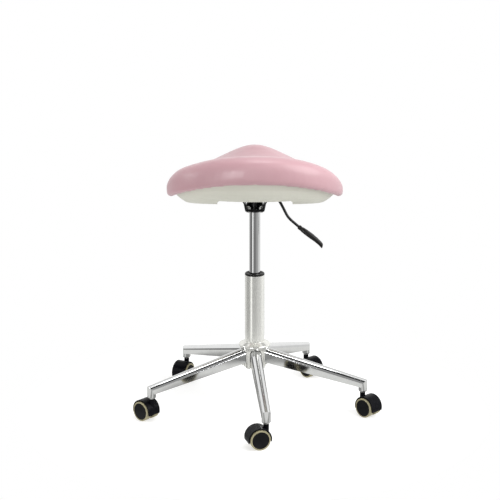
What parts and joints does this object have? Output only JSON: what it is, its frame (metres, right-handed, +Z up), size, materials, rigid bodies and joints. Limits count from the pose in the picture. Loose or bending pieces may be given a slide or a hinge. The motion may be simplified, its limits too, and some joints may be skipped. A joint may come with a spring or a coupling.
{
  "type": "adjustable swivel stool",
  "caption": "Saddle-shaped padded swivel stool on a gas-lift column, with a height lever and a polished star base on twin-wheel casters.",
  "frame": {"origin": "on the swivel axis at floor level, between the caster wheels", "axes": "+Z up along the column; +Y towards the front of the saddle (its pommel); +X towards the lever side"},
  "size_m": [0.6324, 0.5778, 0.682],
  "materials": {
    "leather_pink": "soft satin coated leather, fine grain",
    "foam_cream": "open-cell foam",
    "board_ply": "moulded plywood",
    "shell_white": "moulded, fine texture",
    "steel_black": "gloss black powder coat",
    "zinc_steel": "zinc plated",
    "chrome_column": "bright chrome",
    "chrome_base": "bright polished chrome",
    "plastic_black": "satin moulded",
    "caster_black": "satin moulded nylon",
    "tread_olive": "soft polyurethane tread"
  },
  "bodies": {
    "base": {"star_hub": "chrome_base", "arm_1": "chrome_base", "arm_2": "chrome_base", "arm_3": "chrome_base", "arm_4": "chrome_base", "arm_5": "chrome_base", "column_tube": "chrome_column", "guide_bush": "plastic_black", "thrust_bearing": "zinc_steel", "caster_stems": "zinc_steel", "grip_rings": "steel_black"},
    "lift_rod": {"piston_rod": "zinc_steel", "piston": "plastic_black", "rod_clip": "zinc_steel"},
    "seat": {"seat_cover": "leather_pink", "seat_foam": "foam_cream", "seat_board": "board_ply", "board_t_nuts": "zinc_steel", "under_pan": "shell_white", "pan_screws": "steel_black", "mechanism_tray": "steel_black", "tray_bolts": "zinc_steel", "taper_socket": "steel_black", "socket_bolts": "zinc_steel", "lever_bush": "plastic_black", "gas_cylinder": "chrome_column"},
    "lever": {"lever_rod": "steel_black", "lever_grip": "plastic_black"},
    "valve_pin": {"release_pin": "zinc_steel"},
    "caster_1": {"caster_1_hood": "caster_black", "caster_1_axle": "zinc_steel"},
    "caster_1_wheel_a": {"caster_1_wheel_a": "caster_black", "caster_1_tread_a": "tread_olive"},
    "caster_1_wheel_b": {"caster_1_wheel_b": "caster_black", "caster_1_tread_b": "tread_olive"},
    "caster_2": {"caster_2_hood": "caster_black", "caster_2_axle": "zinc_steel"},
    "caster_2_wheel_a": {"caster_2_wheel_a": "caster_black", "caster_2_tread_a": "tread_olive"},
    "caster_2_wheel_b": {"caster_2_wheel_b": "caster_black", "caster_2_tread_b": "tread_olive"},
    "caster_3": {"caster_3_hood": "caster_black", "caster_3_axle": "zinc_steel"},
    "caster_3_wheel_a": {"caster_3_wheel_a": "caster_black", "caster_3_tread_a": "tread_olive"},
    "caster_3_wheel_b": {"caster_3_wheel_b": "caster_black", "caster_3_tread_b": "tread_olive"},
    "caster_4": {"caster_4_hood": "caster_black", "caster_4_axle": "zinc_steel"},
    "caster_4_wheel_a": {"caster_4_wheel_a": "caster_black", "caster_4_tread_a": "tread_olive"},
    "caster_4_wheel_b": {"caster_4_wheel_b": "caster_black", "caster_4_tread_b": "tread_olive"},
    "caster_5": {"caster_5_hood": "caster_black", "caster_5_axle": "zinc_steel"},
    "caster_5_wheel_a": {"caster_5_wheel_a": "caster_black", "caster_5_tread_a": "tread_olive"},
    "caster_5_wheel_b": {"caster_5_wheel_b": "caster_black", "caster_5_tread_b": "tread_olive"}
  },
  "joints": [
    {"name": "seat_swivel", "type": "hinge", "parent": "base", "child": "lift_rod", "pos_m": [0, 0, 0.118], "axis": [0, 0, 1], "continuous": true},
    {"name": "height_adjust", "type": "slide", "parent": "lift_rod", "child": "seat", "axis": [0, 0, 1], "range_m": [-0.12, 0]},
    {"name": "lever_lift", "type": "hinge", "parent": "seat", "child": "lever", "pos_m": [0.03379, 0, 0.5535], "axis": [0, -1, 0], "range_deg": [0, 7], "stiffness_Nm_per_rad": 2, "springref_deg": -6.88},
    {"name": "valve_press", "type": "slide", "parent": "seat", "child": "valve_pin", "axis": [0, 0, -1], "range_m": [0, 0.0045]},
    {"name": "caster_1_swivel", "type": "hinge", "parent": "base", "child": "caster_1", "pos_m": [0.02659, -0.28125, 0.05], "axis": [0, 0, 1], "continuous": true},
    {"name": "caster_1_roll_a", "type": "hinge", "parent": "caster_1", "child": "caster_1_wheel_a", "pos_m": [0.00746, -0.28709, 0.025], "axis": [-0.2924, 0.9563, 0], "continuous": true},
    {"name": "caster_1_roll_b", "type": "hinge", "parent": "caster_1", "child": "caster_1_wheel_b", "pos_m": [0.00746, -0.28709, 0.025], "axis": [-0.2924, 0.9563, 0], "continuous": true},
    {"name": "caster_2_swivel", "type": "hinge", "parent": "base", "child": "caster_2", "pos_m": [0.2757, -0.06162, 0.05], "axis": [0, 0, 1], "continuous": true},
    {"name": "caster_2_roll_a", "type": "hinge", "parent": "caster_2", "child": "caster_2_wheel_a", "pos_m": [0.28984, -0.07577, 0.025], "axis": [-0.7071, -0.7071, 0], "continuous": true},
    {"name": "caster_2_roll_b", "type": "hinge", "parent": "caster_2", "child": "caster_2_wheel_b", "pos_m": [0.28984, -0.07577, 0.025], "axis": [-0.7071, -0.7071, 0], "continuous": true},
    {"name": "caster_3_swivel", "type": "hinge", "parent": "base", "child": "caster_3", "pos_m": [0.1438, 0.24316, 0.05], "axis": [0, 0, 1], "continuous": true},
    {"name": "caster_3_roll_a", "type": "hinge", "parent": "caster_3", "child": "caster_3_wheel_a", "pos_m": [0.15744, 0.22853, 0.025], "axis": [-0.7314, -0.682, 0], "continuous": true},
    {"name": "caster_3_roll_b", "type": "hinge", "parent": "caster_3", "child": "caster_3_wheel_b", "pos_m": [0.15744, 0.22853, 0.025], "axis": [-0.7314, -0.682, 0], "continuous": true},
    {"name": "caster_4_swivel", "type": "hinge", "parent": "base", "child": "caster_4", "pos_m": [-0.18682, 0.21191, 0.05], "axis": [0, 0, 1], "continuous": true},
    {"name": "caster_4_roll_a", "type": "hinge", "parent": "caster_4", "child": "caster_4_wheel_a", "pos_m": [-0.1959, 0.19409, 0.025], "axis": [-0.891, 0.454, 0], "continuous": true},
    {"name": "caster_4_roll_b", "type": "hinge", "parent": "caster_4", "child": "caster_4_wheel_b", "pos_m": [-0.1959, 0.19409, 0.025], "axis": [-0.891, 0.454, 0], "continuous": true},
    {"name": "caster_5_swivel", "type": "hinge", "parent": "base", "child": "caster_5", "pos_m": [-0.25927, -0.11219, 0.05], "axis": [0, 0, 1], "continuous": true},
    {"name": "caster_5_roll_a", "type": "hinge", "parent": "caster_5", "child": "caster_5_wheel_a", "pos_m": [-0.27436, -0.09907, 0.025], "axis": [0.6561, 0.7547, 0], "continuous": true},
    {"name": "caster_5_roll_b", "type": "hinge", "parent": "caster_5", "child": "caster_5_wheel_b", "pos_m": [-0.27436, -0.09907, 0.025], "axis": [0.6561, 0.7547, 0], "continuous": true}
  ],
  "couplings": [
    {"joint": "valve_press", "follows": "lever_lift", "m_per_rad": 0.03439}
  ]
}
